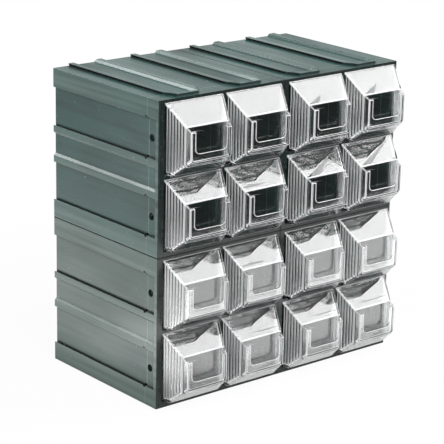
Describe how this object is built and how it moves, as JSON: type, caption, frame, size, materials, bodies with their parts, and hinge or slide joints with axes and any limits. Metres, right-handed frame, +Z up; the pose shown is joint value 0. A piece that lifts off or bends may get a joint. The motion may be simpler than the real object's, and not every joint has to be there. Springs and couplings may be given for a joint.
{
  "type": "parts bin cabinet",
  "caption": "Stackable small-parts cabinet of keyed grey-green housings, with clear hooded drawers that slide forward and hold a label in front.",
  "frame": {"origin": "bottom centre of the box round the whole cabinet, at the height of the surface it stands on", "axes": "+Z up, +Y from the drawers' front to the cabinet's back, +X to the right as seen from the front"},
  "size_m": [0.254, 0.1618, 0.254],
  "materials": {
    "housing": "satin moulded polypropylene",
    "drawer": "clear polished polystyrene"
  },
  "bodies": {
    "cabinet": {"housing_upper_left": "housing", "housing_upper_right": "housing", "housing_lower_left": "housing", "housing_lower_right": "housing"},
    "drawer_row1_col1": {"drawer_row1_col1": "drawer"},
    "drawer_row1_col2": {"drawer_row1_col2": "drawer"},
    "drawer_row1_col3": {"drawer_row1_col3": "drawer"},
    "drawer_row1_col4": {"drawer_row1_col4": "drawer"},
    "drawer_row2_col1": {"drawer_row2_col1": "drawer"},
    "drawer_row2_col2": {"drawer_row2_col2": "drawer"},
    "drawer_row2_col3": {"drawer_row2_col3": "drawer"},
    "drawer_row2_col4": {"drawer_row2_col4": "drawer"},
    "drawer_row3_col1": {"drawer_row3_col1": "drawer"},
    "drawer_row3_col2": {"drawer_row3_col2": "drawer"},
    "drawer_row3_col3": {"drawer_row3_col3": "drawer"},
    "drawer_row3_col4": {"drawer_row3_col4": "drawer"},
    "drawer_row4_col1": {"drawer_row4_col1": "drawer"},
    "drawer_row4_col2": {"drawer_row4_col2": "drawer"},
    "drawer_row4_col3": {"drawer_row4_col3": "drawer"},
    "drawer_row4_col4": {"drawer_row4_col4": "drawer"}
  },
  "joints": [
    {"name": "slide_row1_col1", "type": "slide", "parent": "cabinet", "child": "drawer_row1_col1", "axis": [0, -1, 0], "range_m": [0, 0.11]},
    {"name": "slide_row1_col2", "type": "slide", "parent": "cabinet", "child": "drawer_row1_col2", "axis": [0, -1, 0], "range_m": [0, 0.11]},
    {"name": "slide_row1_col3", "type": "slide", "parent": "cabinet", "child": "drawer_row1_col3", "axis": [0, -1, 0], "range_m": [0, 0.11]},
    {"name": "slide_row1_col4", "type": "slide", "parent": "cabinet", "child": "drawer_row1_col4", "axis": [0, -1, 0], "range_m": [0, 0.11]},
    {"name": "slide_row2_col1", "type": "slide", "parent": "cabinet", "child": "drawer_row2_col1", "axis": [0, -1, 0], "range_m": [0, 0.11]},
    {"name": "slide_row2_col2", "type": "slide", "parent": "cabinet", "child": "drawer_row2_col2", "axis": [0, -1, 0], "range_m": [0, 0.11]},
    {"name": "slide_row2_col3", "type": "slide", "parent": "cabinet", "child": "drawer_row2_col3", "axis": [0, -1, 0], "range_m": [0, 0.11]},
    {"name": "slide_row2_col4", "type": "slide", "parent": "cabinet", "child": "drawer_row2_col4", "axis": [0, -1, 0], "range_m": [0, 0.11]},
    {"name": "slide_row3_col1", "type": "slide", "parent": "cabinet", "child": "drawer_row3_col1", "axis": [0, -1, 0], "range_m": [0, 0.11]},
    {"name": "slide_row3_col2", "type": "slide", "parent": "cabinet", "child": "drawer_row3_col2", "axis": [0, -1, 0], "range_m": [0, 0.11]},
    {"name": "slide_row3_col3", "type": "slide", "parent": "cabinet", "child": "drawer_row3_col3", "axis": [0, -1, 0], "range_m": [0, 0.11]},
    {"name": "slide_row3_col4", "type": "slide", "parent": "cabinet", "child": "drawer_row3_col4", "axis": [0, -1, 0], "range_m": [0, 0.11]},
    {"name": "slide_row4_col1", "type": "slide", "parent": "cabinet", "child": "drawer_row4_col1", "axis": [0, -1, 0], "range_m": [0, 0.11]},
    {"name": "slide_row4_col2", "type": "slide", "parent": "cabinet", "child": "drawer_row4_col2", "axis": [0, -1, 0], "range_m": [0, 0.11]},
    {"name": "slide_row4_col3", "type": "slide", "parent": "cabinet", "child": "drawer_row4_col3", "axis": [0, -1, 0], "range_m": [0, 0.11]},
    {"name": "slide_row4_col4", "type": "slide", "parent": "cabinet", "child": "drawer_row4_col4", "axis": [0, -1, 0], "range_m": [0, 0.11]}
  ]
}
